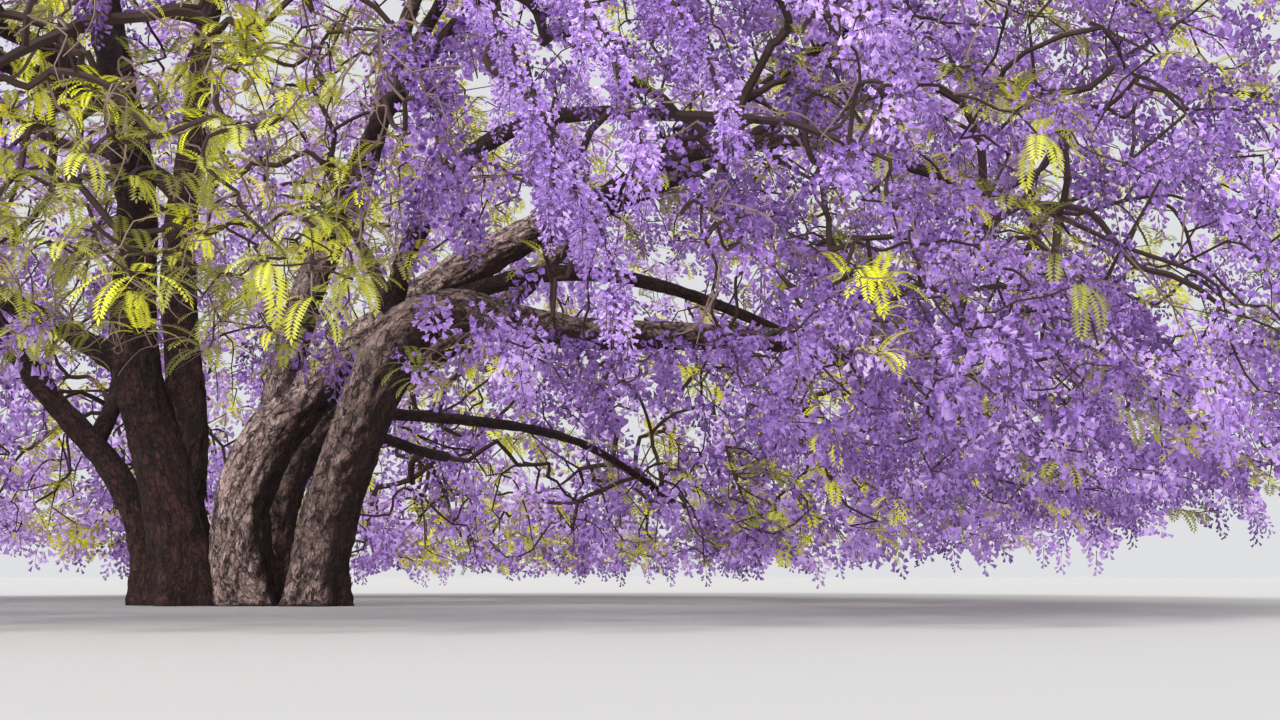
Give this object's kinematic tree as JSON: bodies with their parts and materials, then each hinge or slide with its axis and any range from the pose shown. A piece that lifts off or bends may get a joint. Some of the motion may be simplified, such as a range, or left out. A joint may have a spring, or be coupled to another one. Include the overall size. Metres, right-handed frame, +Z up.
{
  "type": "jacaranda tree",
  "caption": "Old jacaranda in full bloom: several leaning stems from one root clump, long low boughs, and a wide domed crown of hanging violet sprays open underneath.",
  "frame": {"origin": "on the flat cut at ground level, in the middle of the root clump", "axes": "+Z up; +X towards the side the long arm reaches to; +Y away from the open front of the crown"},
  "size_m": [16.484, 16.3458, 8.9383],
  "materials": {
    "bark": "rough, ridged dark brown bark, paler grey-pink where the sun strikes it",
    "bloom": "soft violet blossom in hanging sprays, with a little lime-green feathery leaf"
  },
  "bodies": {
    "root": {"root_clump": "bark", "great_stem": "bark", "sunlit_stem": "bark", "elbow_stem": "bark", "long_arm": "bark", "left_stem": "bark", "back_stem": "bark", "inner_stem": "bark", "upright_limb": "bark", "bough_low_02": "bark", "bough_low_03": "bark", "bough_low_04": "bark", "bough_low_05": "bark", "bough_low_06": "bark", "bough_low_07": "bark", "bough_low_08": "bark", "bough_low_09": "bark", "bough_low_10": "bark", "bough_low_11": "bark", "bough_low_12": "bark", "bough_middle_03": "bark", "bough_middle_04": "bark", "bough_middle_06": "bark", "bough_middle_07": "bark", "bough_middle_08": "bark", "bough_middle_09": "bark", "bough_top_03": "bark", "bough_top_05": "bark", "bough_tip": "bark", "foliage_low_01": "bloom", "foliage_low_02": "bloom", "foliage_low_03": "bloom", "foliage_low_04": "bloom", "foliage_low_05": "bloom", "foliage_low_06": "bloom", "foliage_low_07": "bloom", "foliage_low_08": "bloom", "foliage_low_09": "bloom", "foliage_low_10": "bloom", "foliage_low_11": "bloom", "foliage_low_12": "bloom", "foliage_middle_01": "bloom", "foliage_middle_02": "bloom", "foliage_middle_03": "bloom", "foliage_middle_04": "bloom", "foliage_middle_05": "bloom", "foliage_middle_06": "bloom", "foliage_middle_07": "bloom", "foliage_middle_08": "bloom", "foliage_middle_09": "bloom", "foliage_top_01": "bloom", "foliage_top_02": "bloom", "foliage_top_03": "bloom", "foliage_top_04": "bloom", "foliage_top_05": "bloom", "foliage_tip": "bloom"}
  },
  "joints": []
}
